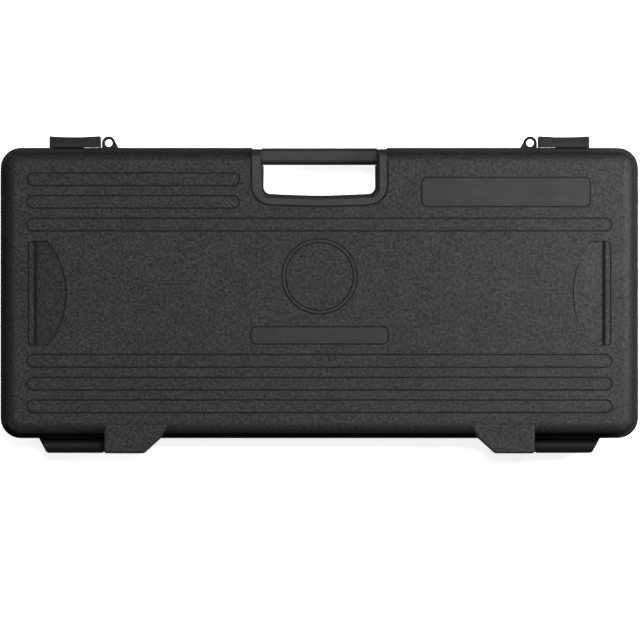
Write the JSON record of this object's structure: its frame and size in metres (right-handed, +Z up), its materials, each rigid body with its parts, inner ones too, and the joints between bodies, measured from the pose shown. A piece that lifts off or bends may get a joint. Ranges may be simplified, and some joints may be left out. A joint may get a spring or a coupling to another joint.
{
  "type": "pedalboard",
  "caption": "Hard-shell pedalboard case for effect pedals, with hinged lid, sliding latches, recessed carrying handle, padlock eyes, bays, pads and foam liner.",
  "frame": {"origin": "on the floor under the middle of the case as it lies on its rubber feet", "axes": "+X along the length, -Y to the handle and latch side, +Y to the hinge side, +Z up through the lid"},
  "size_m": [0.64, 0.318, 0.1048],
  "materials": {
    "textured_shell": "moulded ABS with a fine pebble grain, matte",
    "smooth_plastic": "smooth satin ABS",
    "inner_plastic": "lightly grained ABS sheet",
    "steel": "bright drawn steel",
    "black_screw": "black zinc, satin",
    "rubber": "matte rubber",
    "foam": "open-cell foam, matte"
  },
  "bodies": {
    "base": {"adapter_pad": "foam", "base_shell": "textured_shell", "bay_divider_1": "inner_plastic", "bay_divider_2": "inner_plastic", "bay_divider_3": "inner_plastic", "bay_divider_4": "inner_plastic", "bay_divider_5": "inner_plastic", "bay_divider_6": "inner_plastic", "deck_screws": "black_screw", "foot_screws": "black_screw", "front_rail_left": "inner_plastic", "front_rail_right": "inner_plastic", "handle_grip_lower": "smooth_plastic", "handle_grip_upper": "smooth_plastic", "handle_rod": "steel", "handle_screws": "black_screw", "hinge_pin_left": "steel", "hinge_pin_right": "steel", "pedal_deck": "inner_plastic", "pedal_pad_1": "foam", "pedal_pad_2": "foam", "pedal_pad_3": "foam", "pedal_pad_4": "foam", "pedal_pad_5": "foam", "pedal_pad_6": "foam", "rear_rail": "inner_plastic", "rubber_foot_front_left": "rubber", "rubber_foot_front_right": "rubber", "rubber_foot_rear_left": "rubber", "rubber_foot_rear_right": "rubber"},
    "lid": {"lid_shell": "textured_shell", "lid_foam": "foam"},
    "latch_left": {"latch_slider_left": "smooth_plastic"},
    "latch_right": {"latch_slider_right": "smooth_plastic"}
  },
  "joints": [
    {"name": "lid_hinge", "type": "hinge", "parent": "base", "child": "lid", "pos_m": [0, 0.1517, 0.058], "axis": [-1, 0, 0], "range_deg": [0, 110]},
    {"name": "latch_left_slide", "type": "slide", "parent": "lid", "child": "latch_left", "axis": [-1, 0, 0], "range_m": [0, 0.014]},
    {"name": "latch_right_slide", "type": "slide", "parent": "lid", "child": "latch_right", "axis": [1, 0, 0], "range_m": [0, 0.014]}
  ]
}
